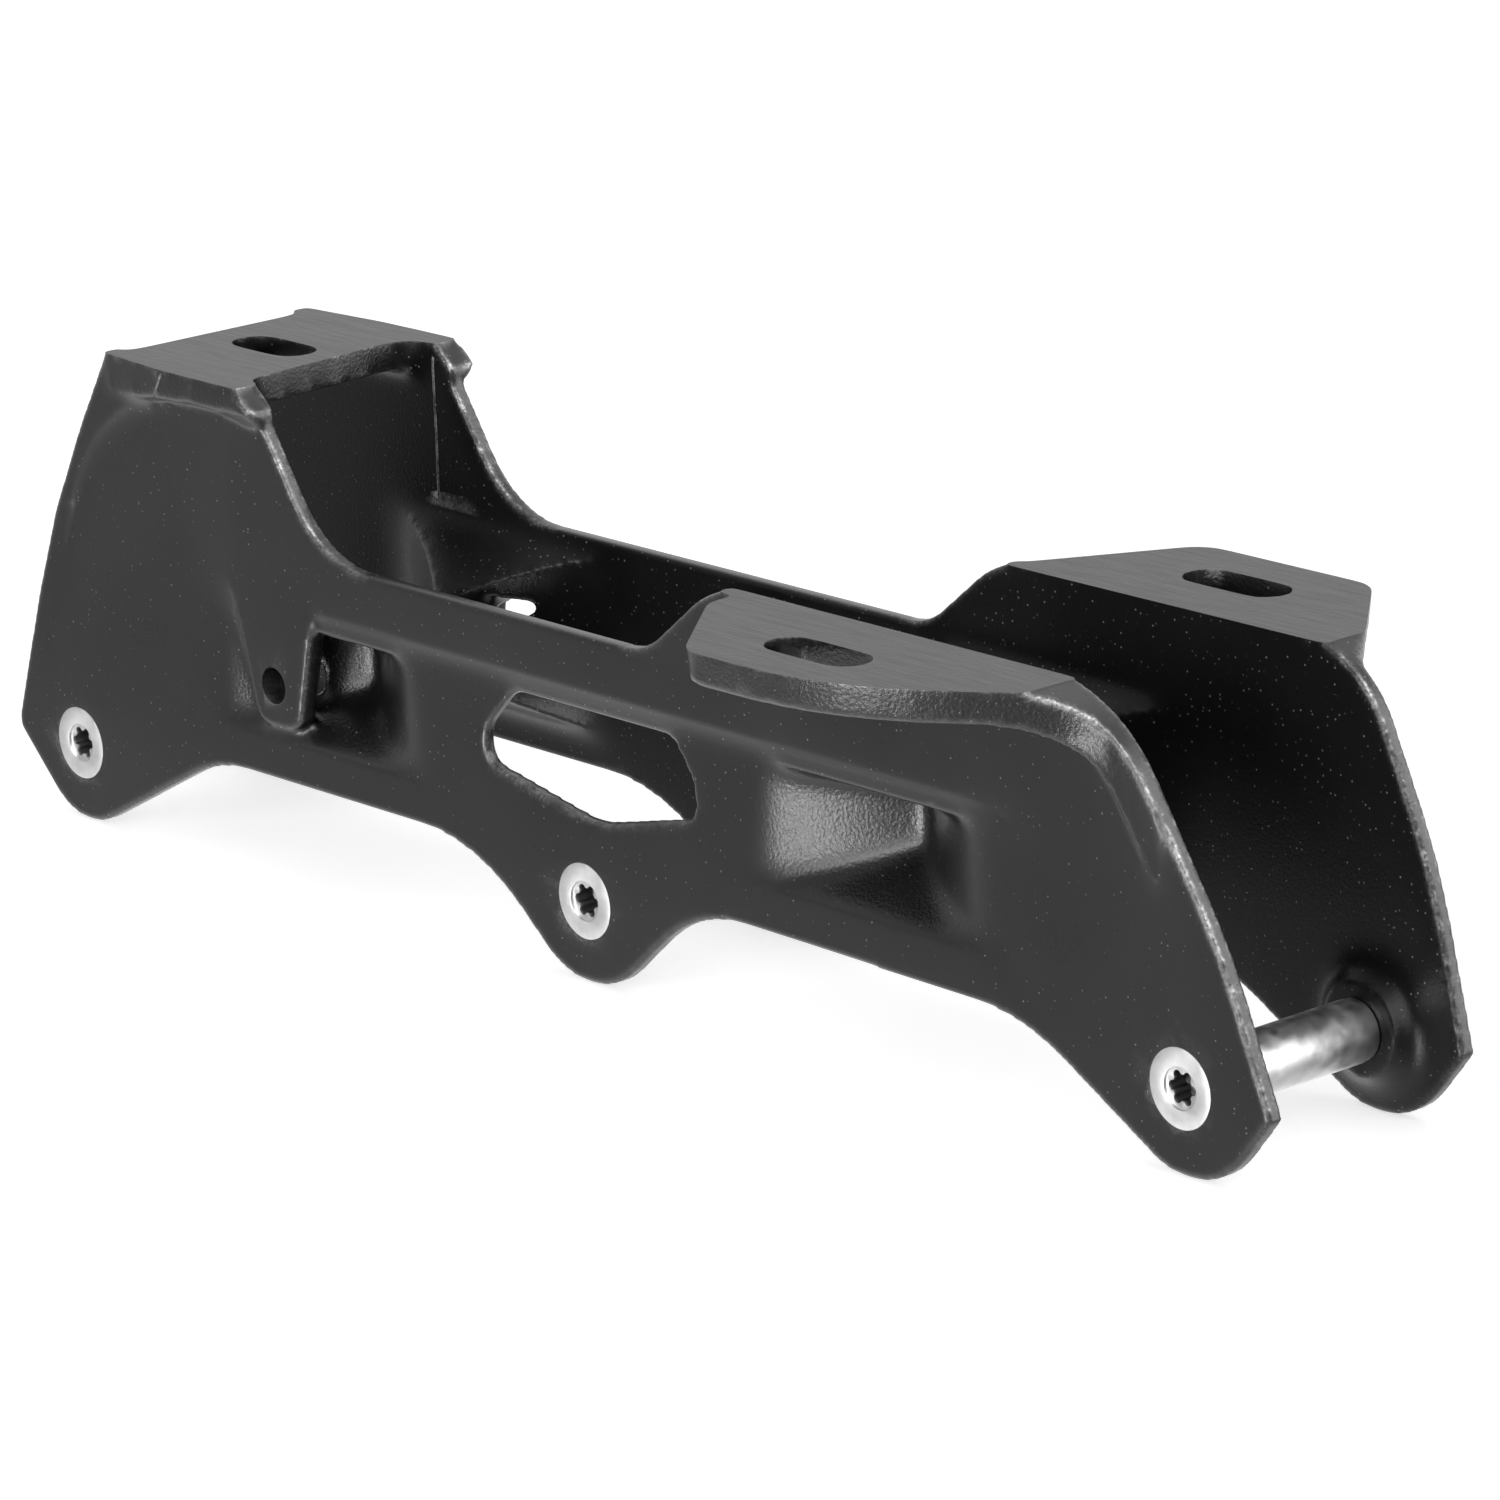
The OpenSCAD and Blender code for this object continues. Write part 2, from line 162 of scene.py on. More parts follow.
white = (1.0, 1.0, 1.0, 1.0)
surround_level = 0.40
mirrored_level = 0.58
soft_boxes = [
    ((-0.04, -0.96, -0.27), 1, 14, 19.0),
    ((0.45, -0.85, 0.30), 8, 26, 4.0),
    ((0.55, -0.10, 0.83), 12, 40, 6.0),
    ((0.72, 0.62, 0.30), 12, 40, 4.2),
    ((-0.72, 0.62, 0.30), 30, 65, 0.55),
    ((-0.20, -0.05, -0.98), 35, 60, 1.0),
]
world = bpy.data.worlds.new("surround")
scene.world = world
scene.view_settings.view_transform = "Standard"
world.use_nodes = True
add = node_maker(world)
toward = add("TexCoord").outputs["Generated"]
mirrored = mirrored_level
for direction, core, reach, brightness in soft_boxes:
    unit = (np.array(direction) / np.linalg.norm(direction)).tolist()
    nearness = add("VectorMath", {0: toward, 1: unit}, operation="DOT_PRODUCT").outputs["Value"]
    at_reach, at_core = np.cos(np.radians([reach, core])).tolist()
    box_glow = add("MapRange", {
        "Value": nearness, "From Min": at_reach, "From Max": at_core, "To Max": brightness,
    }, interpolation_type="SMOOTHSTEP").outputs["Result"]
    mirrored = calc(add, "ADD", box_glow, mirrored)
path, direct = seen_directly(add)
strength = add("MapRange", {"Value": direct, "To Min": surround_level, "To Max": 1.0}).outputs["Result"]
plain_sky = add("Background", {"Color": white, "Strength": strength})
mirrored_sky = add("Background", {"Color": white, "Strength": mirrored})
sky = add("MixShader", {0: path["Is Glossy Ray"], 1: plain_sky.outputs[0], 2: mirrored_sky.outputs[0]})
add("OutputWorld", {"Surface": sky.outputs[0]})
print("surround:", len(soft_boxes), "soft boxes")

# %% [markdown]
# The floor is one large square of pale paper. It keeps the soft shadow, and a glow that
# only the camera sees lifts it to white. Mirrored rays pass it, as if the part were held
# clear of the table, because the soft boxes already hold the table's reflection.

# %% Floor
floor_size = 4.0
floor_glow = 0.66
floor_tone = (0.85, 0.85, 0.85, 1.0)
corners = np.array([[-1, -1, 0], [1, -1, 0], [1, 1, 0], [-1, 1, 0]]) * floor_size / 2
floor_mesh = bpy.data.meshes.new("floor")
floor_mesh.from_pydata(corners.tolist(), [], [(0, 1, 2, 3)])
floor = bpy.data.objects.new("floor", floor_mesh)
scene.collection.objects.link(floor)
paper = bpy.data.materials.new("pale_floor")
paper.use_nodes = True
add = node_maker(paper)
path, direct = seen_directly(add)
matte = add("BsdfDiffuse", {"Color": floor_tone})
glow = add("Emission", {"Color": white, "Strength": calc(add, "MULTIPLY", direct, floor_glow)})
lit = add("AddShader", {0: matte.outputs[0], 1: glow.outputs[0]})
clear = add("BsdfTransparent", {"Color": white})
both = add("MixShader", {0: path["Is Glossy Ray"], 1: lit.outputs[0], 2: clear.outputs[0]})
add("OutputMaterial", {"Surface": both.outputs[0]})
floor_mesh.materials.append(paper)
print("floor", floor_size, "m wide at the level of the lobes")

# %% [markdown]
# Three lamps give the soft shadows and the plain light that the surround lacks: one out
# from the outer side, a little towards the toe, one over the toe and a weak one above.
# Large area lamps give soft shadows, as the boxes in a studio do.

# %% Soft lights
def soft_light(name, place, target, width, height, power):
    """A rectangular lamp at place, turned so that it shines at target."""
    data = bpy.data.lights.new(name, "AREA")
    data.shape = "RECTANGLE"
    data.size, data.size_y = width, height
    data.energy = power
    lamp = bpy.data.objects.new(name, data)
    away = np.array(place, float) - np.array(target, float)
    away /= np.linalg.norm(away)
    side = np.cross([0.0, 0.0, 1.0], away)
    side /= np.linalg.norm(side)
    turn = np.eye(4)
    turn[:3, :4] = np.column_stack([side, np.cross(away, side), away, place])
    lamp.matrix_world = Matrix(turn.tolist())
    scene.collection.objects.link(lamp)
    return lamp


middle = (0.0, 0.0, 0.035)
lamps = [
    soft_light("light_key", (0.03, -1.0, 0.30), middle, 0.5, 0.4, 4.0),
    soft_light("light_toe", (1.0, -0.25, 0.75), middle, 0.5, 0.5, 1.2),
    soft_light("light_above", (0.0, 0.35, 1.0), middle, 0.8, 0.6, 1.2),
]
print("lamps:", [lamp.name for lamp in lamps])

# %% [markdown]
# The frame is one casting with a few machined places. Cast edges are round and
# machined edges are sharp, so the two are made one after the other, as in a workshop:
# a rough casting with stock on its faces, then an even skin with soft edges, then
# the cuts. A bevel could round the edges, but it would have to find its way round a
# thousand small faces. The helpers below carry arrays into meshes and back.

# %% Mesh helpers
merge_distance = 1e-7


def new_mesh(name, points, faces):
    """A mesh from an array of points in millimetres and a list of faces."""
    mesh = bpy.data.meshes.new(name)
    mesh.from_pydata((np.asarray(points) * MM).tolist(), [], [list(map(int, face)) for face in faces])
    mesh.update()
    return mesh


def read_array(items, name, width, kind=float):
    """One property of all the vertices, edges or faces of a mesh, in rows of the given width."""
    values = np.empty(len(items) * width, kind)
    items.foreach_get(name, values)
    return values.reshape(-1, width)


def merged_copy(node):
    """A mesh copy of a CAD node in which the loose triangles share their corners."""
    mesh = node.data.copy()
    work = bmesh.new()
    work.from_mesh(mesh)
    bmesh.ops.remove_doubles(work, verts=work.verts, dist=merge_distance)
    work.to_mesh(mesh)
    work.free()
    mesh.materials.clear()
    return mesh


def worked(mesh, kind, **settings):
    """The mesh that one modifier makes of a mesh."""
    holder = bpy.data.objects.new("work", mesh)
    scene.collection.objects.link(holder)
    modifier = holder.modifiers.new("work", kind)
    for name, value in settings.items():
        setattr(modifier, name, value)
    shown = holder.evaluated_get(bpy.context.evaluated_depsgraph_get())
    result = bpy.data.meshes.new_from_object(shown)
    bpy.data.objects.remove(holder)
    return result


cad_mesh = merged_copy(frame["nodes"]["frame"])
cad_points = read_array(cad_mesh.vertices, "co", 3) / MM
cad_triangles = read_array(cad_mesh.loops, "vertex_index", 1, np.int64).reshape(-1, 3)
print("casting solid:", len(cad_points), "points,", len(cad_triangles), "triangles")

# %% [markdown]
# A foundry leaves some extra metal, the stock, where a face will be milled. Here it
# keeps the rounding away from the edges of the three mounting faces. A box could be
# laid on each face, but it would not follow the face's outline. So the triangles of
# the flat top are raised to make the slab, and its walls stand on their outer edges.

# %% Stock on the mounting faces
mounts = {mount["name"]: np.array(mount["pos_m"]) / MM for mount in frame["record"]["mounts"]}
heel_level = mounts["heel_slot"][2]
toe_level = mounts["outer_toe_slot"][2]
flat_tolerance = 0.01
stock_height = 1.6
stock_sink = 0.4


def stock_on(level):
    """Closed slab on the flat top at a level.

    Its triangles are raised, the same triangles are sunk and turned over, and walls
    stand on the edges that belong to only one triangle.
    """
    top = cad_triangles[(np.abs(cad_points[cad_triangles, 2] - level) < flat_tolerance).all(1)]
    pairs = np.concatenate([top[:, [0, 1]], top[:, [1, 2]], top[:, [2, 0]]])
    count = len(cad_points)
    rim = pairs[~np.isin(pairs @ [count, 1], pairs @ [1, count])]
    a, b = rim.T
    walls = np.concatenate([np.stack([a, b, b + count], 1), np.stack([a, b + count, a + count], 1)])
    points = np.concatenate([cad_points - [0, 0, stock_sink], cad_points + [0, 0, stock_height]])
    faces = np.concatenate([top + count, top[:, ::-1], walls])
    used, faces = np.unique(faces, return_inverse=True)
    return points[used], faces.reshape(-1, 3).tolist()


stock = [stock_on(heel_level), stock_on(toe_level)]
print("stock on the heel and toe faces:", [len(faces) for _, faces in stock], "triangles")

# %% [markdown]
# The bores are drilled after casting, so their rims are sharp. To keep them from being
# rounded, each bore is filled with a plug first and opened again later. A plug is a
# body of revolution: a profile of radius and place is turned round a line along Y.

# %% Plugs in the bores
boss_y = 12.2
head_radius, shaft_radius, tip_radius = 5.0, 4.0, 3.0
plug_margin = 0.6
head_plug_depth = 2.3
brake_x, _, brake_z = mounts["brake_hole"]
brake_plug_radius = 3.0
tab_thickness = 3.0


def tube_faces(rings, steps):
    """Faces of a closed tube whose points are one end, then the rings, then the other end.

    Neighbouring rings are joined by four-sided faces, and each end by a fan of triangles.
    """
    here = np.arange(steps)
    there = (here + 1) % steps
    start = 1 + steps * np.arange(rings - 1)[:, None]
    sides = [start + here, start + steps + here, start + steps + there, start + there]
    last = 1 + steps * rings
    first_cap = np.stack([0 * here, 1 + here, 1 + there], 1)
    last_cap = np.stack([0 * here + last, last - steps + there, last - steps + here], 1)
    return np.stack(sides, -1).reshape(-1, 4).tolist() + first_cap.tolist() + last_cap.tolist()


def lathe(profile, x, z, steps=96):
    """Body turned round a line along Y.

    Each (radius, y) pair of the profile becomes a ring of points at that distance from
    the line. The first and the last pair lie on the line.
    """
    radius, y = np.array(profile, float).T
    turn = np.arange(steps) * 2 * np.pi / steps
    rings = np.stack([
        x + radius[1:-1, None] * np.cos(turn),
        np.repeat(y[1:-1, None], steps, 1),
        z + radius[1:-1, None] * np.sin(turn),
    ], -1).reshape(-1, 3)
    return np.vstack([[x, y[0], z], rings, [x, y[-1], z]]), tube_faces(len(radius) - 2, steps)


def drum(radius, y0, y1, x, z):
    """Plain round bar from y0 to y1."""
    return lathe([(0, y0), (radius, y0), (radius, y1), (0, y1)], x, z)


def tab_drums(radius, reach):
    """A round bar through each of the two brake tabs, standing out of it by reach."""
    tab_y = wall_y - tab_thickness / 2
    half = tab_thickness / 2 + reach
    return [drum(radius, side * tab_y - half, side * tab_y + half, brake_x, brake_z) for side in (-1, 1)]


def joined(bodies):
    """Points and faces of several bodies in one list each."""
    starts = np.cumsum([0] + [len(points) for points, _ in bodies])
    faces = [[corner + start for corner in face] for start, (_, some) in zip(starts, bodies) for face in some]
    return np.vstack([points for points, _ in bodies]), faces


plugs = [body for x in axle_x for body in (
    drum(head_radius + plug_margin, -wall_y, -wall_y + head_plug_depth, x, axle_z),
    drum(shaft_radius + plug_margin, -wall_y, -boss_y, x, axle_z),
    drum(tip_radius + plug_margin, boss_y, wall_y, x, axle_z),
)]
plugs += tab_drums(brake_plug_radius, 0.0)
rough = joined([(cad_points, cad_triangles.tolist())] + stock + plugs)
print("plugs:", len(plugs))

# %% [markdown]
# Now the rough casting becomes an even skin of small squares, and each point moves
# towards the mean of its neighbours a few times, which rounds every edge alike. Outer
# edges that still turn sharply are then held. The gentle creases of curved walls get more
# passes, and so do the inside corners of the recesses, as metal flows best round wide
# corners.

# %% Even skin and soft edges
skin_step = 0.5
soft_passes = 5
soft_share = 0.5
gentle_turn = 0.010
recess_turn = 0.017
recess_depth = 0.5
gentle_passes = 60
held_spread = 2


def neighbour_mean(values, edges):
    """The mean of each point's neighbours along the edges of the skin."""
    ends = np.concatenate([edges[:, 0], edges[:, 1]])
    others = np.concatenate([edges[:, 1], edges[:, 0]])
    count = np.bincount(ends, minlength=len(values))
    total = [np.bincount(ends, weights=column, minlength=len(values)) for column in values[others].T]
    return np.stack(total, 1) / count[:, None]


def move_points(mesh, points):
    """Puts all the points of a mesh in new places."""
    mesh.vertices.foreach_set("co", points.ravel())
    mesh.update()


skin = worked(new_mesh("rough_casting", *rough), "REMESH", mode="VOXEL", voxel_size=skin_step * MM)
edges = read_array(skin.edges, "vertices", 2, np.int64)
soft = read_array(skin.vertices, "co", 3)
for _ in range(soft_passes):
    soft += soft_share * (neighbour_mean(soft, edges) - soft)
move_points(skin, soft)
to_mean = neighbour_mean(soft, edges) - soft
edge_turn = np.linalg.norm(to_mean, axis=1) / MM
hollow = (to_mean * read_array(skin.vertices, "normal", 3)).sum(1) > 0
recessed = np.abs(soft[:, 1]) / MM < wall_y - recess_depth
turn_limit = np.where(recessed, recess_turn, gentle_turn)
held = (np.clip(edge_turn / turn_limit - 1, 0, 1) * ~(hollow & recessed))[:, None]
for _ in range(held_spread):
    held = np.maximum(held, neighbour_mean(held, edges))
for _ in range(gentle_passes):
    soft += soft_share * (1 - held) * (neighbour_mean(soft, edges) - soft)
print("skin:", len(soft), "points,", int((held > 0.5).sum()), "of them held")

# %% [markdown]
# A casting leaves its mould only if its sides lean a little, which is called draft. The
# sides of the front flanges show it: they lean in downwards. Moving the points of the
# skin does this, by an amount that grows with the depth below the top.

# %% Draft of the flanges
draft_angle = np.radians(8)
flange_depth = 5.0
draft_start, draft_full = 0.3, 1.8

below_top = np.clip(toe_level * MM - soft[:, 2], 0, flange_depth * MM)
out_of_wall = np.abs(soft[:, 1]) / MM - wall_y
flange_share = np.clip((out_of_wall - draft_start) / (draft_full - draft_start), 0, 1) * (soft[:, 0] > 0)
soft[:, 1] -= np.sign(soft[:, 1]) * np.tan(draft_angle) * below_top * flange_share
move_points(skin, soft)
print("draft:", int((below_top * flange_share > 0).sum()), "points moved")

# %% [markdown]
# Now the casting is machined. One Boolean takes away the stock above the mounting
# faces and drills the bores, so these edges come out crisp on a soft casting. Before
# that, Decimate thins the flat areas, which need few faces, and keeps the curved ones.

# %% Machining
skin_triangles = 182000
bore_reach = 1.0
fit = 0.06
head_seat_depth = 2.5
brake_radius = 2.5
facing_end, facing_side, facing_height = 200.0, 60.0, 10.0
heel_plate_front = -30.0


def block(low, high):
    """Box between two corners."""
    pick = np.array([[0, 0, 0], [1, 0, 0], [1, 1, 0], [0, 1, 0], [0, 0, 1], [1, 0, 1], [1, 1, 1], [0, 1, 1]])
    faces = [[0, 3, 2, 1], [4, 5, 6, 7], [0, 1, 5, 4], [1, 2, 6, 5], [2, 3, 7, 6], [3, 0, 4, 7]]
    return np.where(pick, high, low).astype(float), faces


def facing(x0, x1, level):
    """The space that a milling cutter clears above a level."""
    return block((x0, -facing_side, level), (x1, facing_side, level + facing_height))


def head_bore(x):
    """Stepped bore for an axle's head and shaft, from outside the outer wall to inside its boss."""
    outside, seat, inside = -wall_y - bore_reach, -wall_y + head_seat_depth, -boss_y + bore_reach
    head, shaft = head_radius + fit, shaft_radius + fit
    profile = [(0, outside), (head, outside), (head, seat), (shaft, seat), (shaft, inside), (0, inside)]
    return lathe(profile, x, axle_z)


def combined(mesh, operation, bodies):
    """The mesh with closed bodies taken away from it or joined to it."""
    tool = bpy.data.objects.new("tool", new_mesh("tool", *joined(bodies)))
    scene.collection.objects.link(tool)
    result = worked(mesh, "BOOLEAN", operation=operation, solver="MANIFOLD", object=tool)
    bpy.data.objects.remove(tool)
    return result


cuts = [head_bore(x) for x in axle_x]
cuts += [drum(tip_radius + fit, boss_y - bore_reach, wall_y + bore_reach, x, axle_z) for x in axle_x]
cuts += tab_drums(brake_radius, bore_reach)
cuts += [facing(-facing_end, heel_plate_front, heel_level), facing(0, facing_end, toe_level)]
thinned = worked(skin, "DECIMATE", ratio=min(1.0, skin_triangles / (2 * len(skin.polygons))))
casting_mesh = combined(thinned, "DIFFERENCE", cuts)
print("casting:", len(thinned.polygons), "faces before machining and", len(casting_mesh.polygons), "after")

# %% [markdown]
# Where the halves of a mould meet, metal creeps in and leaves a thin seam. Most seams
# are ground away, and two short ones are left. Each is a small oval carried along a
# path on the surface and half sunk in it, joined to the casting by a Boolean.

# %% Mould seams
seam_width = 0.5
seam_height = 0.16
seam_paths = [
    [(-81.5, -18.70, 67.2), (-82.7, -18.58, 65.2), (-84.0, -18.36, 63.4)],
    [(-65.9, 14.80, 66.0), (-65.8, 14.80, 54.3), (-66.0, 14.80, 43.6)],
]


def along(path, step=0.5):
    """Points on a path of straight pieces, a step apart.

    Each coordinate is read off against the length of the path so far.
    """
    path = np.array(path, float)
    length = np.concatenate([[0], np.cumsum(np.linalg.norm(np.diff(path, axis=0), axis=1))])
    at = np.linspace(0, length[-1], int(length[-1] / step) + 2)
    return np.stack([np.interp(at, length, column) for column in path.T], 1)


def seam(path, steps=16):
    """Oval tube along a path on a wall that faces along Y, with a point at each end.

    Each ring has half the width along X and the height along Y.
    """
    centre = along(path)
    turn = np.arange(steps) * 2 * np.pi / steps
    oval = np.stack([seam_width / 2 * np.cos(turn), seam_height * np.sin(turn), 0 * turn], 1)
    rings = (centre[1:-1, None] + oval).reshape(-1, 3)
    return np.vstack([centre[0], rings, centre[-1]]), tube_faces(len(centre) - 2, steps)


casting_mesh = combined(casting_mesh, "UNION", [seam(path) for path in seam_paths])
casting_mesh.name = "casting"
print("casting with seams:", len(casting_mesh.polygons), "faces")

# %% [markdown]
# The casting now takes the place of its CAD node. Its faces are shaded smooth, but not
# across sharp edges, and the border of each milled face is one of these, so that the face
# stays flat in the light. Milled faces are found by their level and get the second
# material.

# %% Casting piece
sharp_turn = np.radians(50)
level_tolerance = 0.02
upright = 0.99


def read_column(items, name, kind=float):
    """One number for each vertex, edge or face of a mesh."""
    return read_array(items, name, 1, kind)[:, 0]


casting_mesh.polygons.foreach_set("use_smooth", np.ones(len(casting_mesh.polygons), bool))
casting_mesh.set_sharp_from_angle(angle=sharp_turn)
centre_z = read_array(casting_mesh.polygons, "center", 3)[:, 2] / MM
normal_z = read_array(casting_mesh.polygons, "normal", 3)[:, 2]
off_level = np.minimum(np.abs(centre_z - heel_level), np.abs(centre_z - toe_level))
faced = (off_level < level_tolerance) & (normal_z > upright)
face_of_loop = np.repeat(np.arange(len(faced)), read_column(casting_mesh.polygons, "loop_total", np.int32))
edge_of_loop = read_column(casting_mesh.loops, "edge_index", np.int32)
faced_sides = np.bincount(edge_of_loop, weights=faced[face_of_loop], minlength=len(casting_mesh.edges))
crisp = read_column(casting_mesh.edges, "use_edge_sharp", bool) | (faced_sides == 1)
casting_mesh.edges.foreach_set("use_edge_sharp", crisp)
casting_mesh.materials.clear()
casting_mesh.polygons.foreach_set("material_index", faced.astype(np.int32))
casting = bpy.data.objects.new("casting", casting_mesh)
scene.collection.objects.link(casting)
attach(casting, "frame")
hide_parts("frame")
print("machined faces:", int(faced.sum()))

# %% [markdown]
# A coat is thinnest on outer edges and gets rubbed there, so bright metal shows along
# them, and the same mark also paints highlights on the edges. How far an edge turns is
# measured on the finished mesh: a point stands proud of the mean of its neighbours by
# about a quarter of its curvature times the step squared. Edges that face forwards and
# up, towards the brightest soft boxes, get most of it as a painted highlight, edges
# between the walls, where shade falls, hardly any, and the seams all of it, so they show
# as bright painted highlight lines. The shader reads that measure as an attribute of each point.

# %% Rubbed edges and painted edge highlights
wear_and_highlight_from, wear_and_highlight_full = 0.25, 0.9
highlight_side = np.array([0.75, 0.0, 0.66])
least_wear_and_highlight = 0.12
wall_depth = 2.2
heel_plate_depth = 6.0
seam_low, seam_high = 0.05, 0.3


def keep(mesh, name, values, domain="POINT"):
    """Stores one number for each point or face of a mesh, for a shader to read."""
    mesh.attributes.new(name, "FLOAT", domain).data.foreach_set("value", values.ravel())


edges = read_array(casting_mesh.edges, "vertices", 2, np.int64)
points = read_array(casting_mesh.vertices, "co", 3) / MM
normals = read_array(casting_mesh.vertices, "normal", 3)
from_middle = np.abs(points[:, 1])
steps_squared = ((points[edges[:, 0]] - points[edges[:, 1]]) ** 2).sum(1)
ends = edges.ravel()
mean_step_squared = np.bincount(ends, weights=np.repeat(steps_squared, 2)) / np.bincount(ends)
proud = ((points - neighbour_mean(points, edges)) * normals).sum(1)
curvature = 4 * proud / mean_step_squared
turned = np.clip((curvature - wear_and_highlight_from) / (wear_and_highlight_full - wear_and_highlight_from), 0, 1)
between_walls = (from_middle < wall_y - wall_depth) & (points[:, 2] < heel_level - heel_plate_depth)
# Painted highlight: edges facing the soft boxes get more of the mark, edges between the walls, in shade,
# none.
facing_highlight_side = np.where(between_walls, 0, np.clip(normals @ highlight_side, 0, 1))
edge_wear_and_highlight = (turned * (least_wear_and_highlight + (1 - least_wear_and_highlight) * facing_highlight_side))[:, None]
edge_wear_and_highlight = 0.5 * (edge_wear_and_highlight + neighbour_mean(edge_wear_and_highlight, edges))

seam_points = np.vstack([along(path) for path in seam_paths])
nearest = ((points[:, None, ::2] - seam_points[None, :, ::2]) ** 2).sum(2).argmin(1)
from_seam = points - seam_points[nearest]
height = -from_seam[:, 1]
on_seam = (np.abs(from_seam[:, ::2]).max(1) < seam_width) & (height > seam_low) & (height < seam_high)
# The seams get the full mark, a painted highlight line along each.
keep(casting_mesh, "edge_wear_and_highlight", np.maximum(edge_wear_and_highlight, on_seam[:, None]))
print("rubbed points:", int((edge_wear_and_highlight > 0.3).sum()), "of", len(points), "and", int(on_seam.sum()), "on seams")

# %% [markdown]
# Two more measures help the coat. Places between the walls, facing inwards, get painted
# shade: their coat mirrors less, so they look darker, and more dust specks settle there.
# And where a milled top runs out into a bend, its paler tone fades with the slope, so that
# no hard line shows. Both follow from the direction that the surface faces, which the mesh
# already knows.

# %% Painted inner shade, dust and level places
inner_depth = 1.0
inward_gain = 4.0
least_inward = -0.15
top_reach = 7.0
toe_clear, heel_clear = 1.0, 2.0
slope_from, slope_span = 0.80, 0.19

inward = -normals[:, 1] * np.sign(points[:, 1])
# Painted shade: inward-facing places between the walls, where shade falls, get a coat that mirrors less.
inner_shade_and_dust = np.clip(inward_gain * inward, 0, 1) * (from_middle < wall_y - inner_depth)
inner_shade_and_dust = np.maximum(inner_shade_and_dust, between_walls & (inward > least_inward))
keep(casting_mesh, "inner_shade_and_dust", inner_shade_and_dust)
on_tower = (centre_z > toe_level + toe_clear) & (centre_z < heel_level - heel_clear)
near_top = (centre_z > toe_level - top_reach) & ~on_tower
keep(casting_mesh, "topping", np.clip((normal_z - slope_from) / slope_span, 0, 1) * near_top, "FACE")
print("sheltered points:", int((inner_shade_and_dust > 0.5).sum()), "of", len(points))

# %% [markdown]
# The coat is a thin black layer over cast metal. Out on the walls it is nearly smooth.
# In the pockets and under the flanges the sand of the mould shows through as a grain.
# So the grain's height depends on how far a point lies from the two outer planes, which
# Object coordinates give directly. A displacement would need millions of faces for
# such a fine grain, so a Bump node only tilts the light on it.

# %% Grain of the coat
grain_size = 0.45
grain_height = 0.07
sandy_from, sandy_full = 0.4, 1.8
wall_share = 0.22
inside_share = 0.4


def finish_of(name):
    """A new material and the function that adds nodes to it."""
    material = bpy.data.materials.new(name)
    material.use_nodes = True
    return material, node_maker(material)


def ranged(add, value, low, high, start, end):
    """A value carried from the range low to high onto the range start to end."""
    ends = {"From Min": low, "From Max": high, "To Min": start, "To Max": end}
    return add("MapRange", {"Value": value, **ends}).outputs["Result"]


def noise(add, place, blob_mm, detail):
    """Noise whose blobs are about so many millimetres wide."""
    return add("TexNoise", {"Vector": place, "Scale": 1 / (blob_mm * MM), "Detail": detail}).outputs["Fac"]


coat, add = finish_of("black_coat")
place = add("TexCoord").outputs["Object"]
outward = calc(add, "ABSOLUTE", add("SeparateXYZ", {0: place}).outputs["Y"])
off_wall = calc(add, "ABSOLUTE", calc(add, "SUBTRACT", outward, wall_y * MM))
# This attribute carries the painted shade between the walls and the places where more dust settles.
inside = add("Attribute", attribute_name="inner_shade_and_dust").outputs["Fac"]
sandy = ranged(add, off_wall, sandy_from * MM, sandy_full * MM, wall_share, 1.0)
sandy = calc(add, "MULTIPLY", sandy, ranged(add, inside, 0.0, 1.0, 1.0, inside_share))
grain = noise(add, place, grain_size, 2.0)
height = calc(add, "MULTIPLY", grain, sandy)
bump = add("Bump", {"Height": height, "Strength": 1.0, "Distance": grain_height * MM}).outputs[0]
print("grain of the coat: blobs of", grain_size, "mm")

# %% [markdown]
# Fine pale specks are dust and tiny pits. A Voronoi texture has one point in each of
# its cells, so a small dot round that point gives specks that never overlap. The cell's
# own colour is a random number: only some cells get a speck, and more of them inside.

# %% Specks on the coat
speck_spacing = 0.95
patch_size = 22.0

cells = add("TexVoronoi", {"Vector": place, "Scale": 1 / (speck_spacing * MM)}).outputs
dot = ranged(add, cells["Distance"], 0.07, 0.17, 1.0, 0.0)
chance = add("SeparateXYZ", {0: cells["Color"]}).outputs["X"]
chance = calc(add, "MULTIPLY_ADD", inside, 0.30, chance)
pale = ranged(add, chance, 0.50, 1.0, 0.0, 0.24)
broad = noise(add, place, patch_size, 3.0)
tone = ranged(add, broad, 0.3, 0.7, 0.0045, 0.0075)
tone = calc(add, "MULTIPLY_ADD", dot, pale, tone)
gloss = ranged(add, broad, 0.3, 0.7, 0.25, 0.31)
gloss = calc(add, "MULTIPLY_ADD", grain, 0.06, gloss)
print("specks of the coat: cells of", speck_spacing, "mm")

# %% [markdown]
# Last come the rubbed edges with their painted highlights. Wear isn't even, so the grain
# and a coarser noise break it up into chips, and where it is strongest the surface turns
# from coat to bare metal, which paints a bright highlight along the edges.
# The level places get the paler, duller tone of the milled faces.

# %% Black coat
chip_size = 2.2

edge = add("Attribute", attribute_name="edge_wear_and_highlight").outputs["Fac"]
edge = calc(add, "MULTIPLY", edge, ranged(add, grain, 0.30, 0.65, 0.25, 1.0))
chips = noise(add, place, chip_size, 3.0)
edge = calc(add, "MULTIPLY", edge, ranged(add, chips, 0.38, 0.62, 0.35, 1.0))
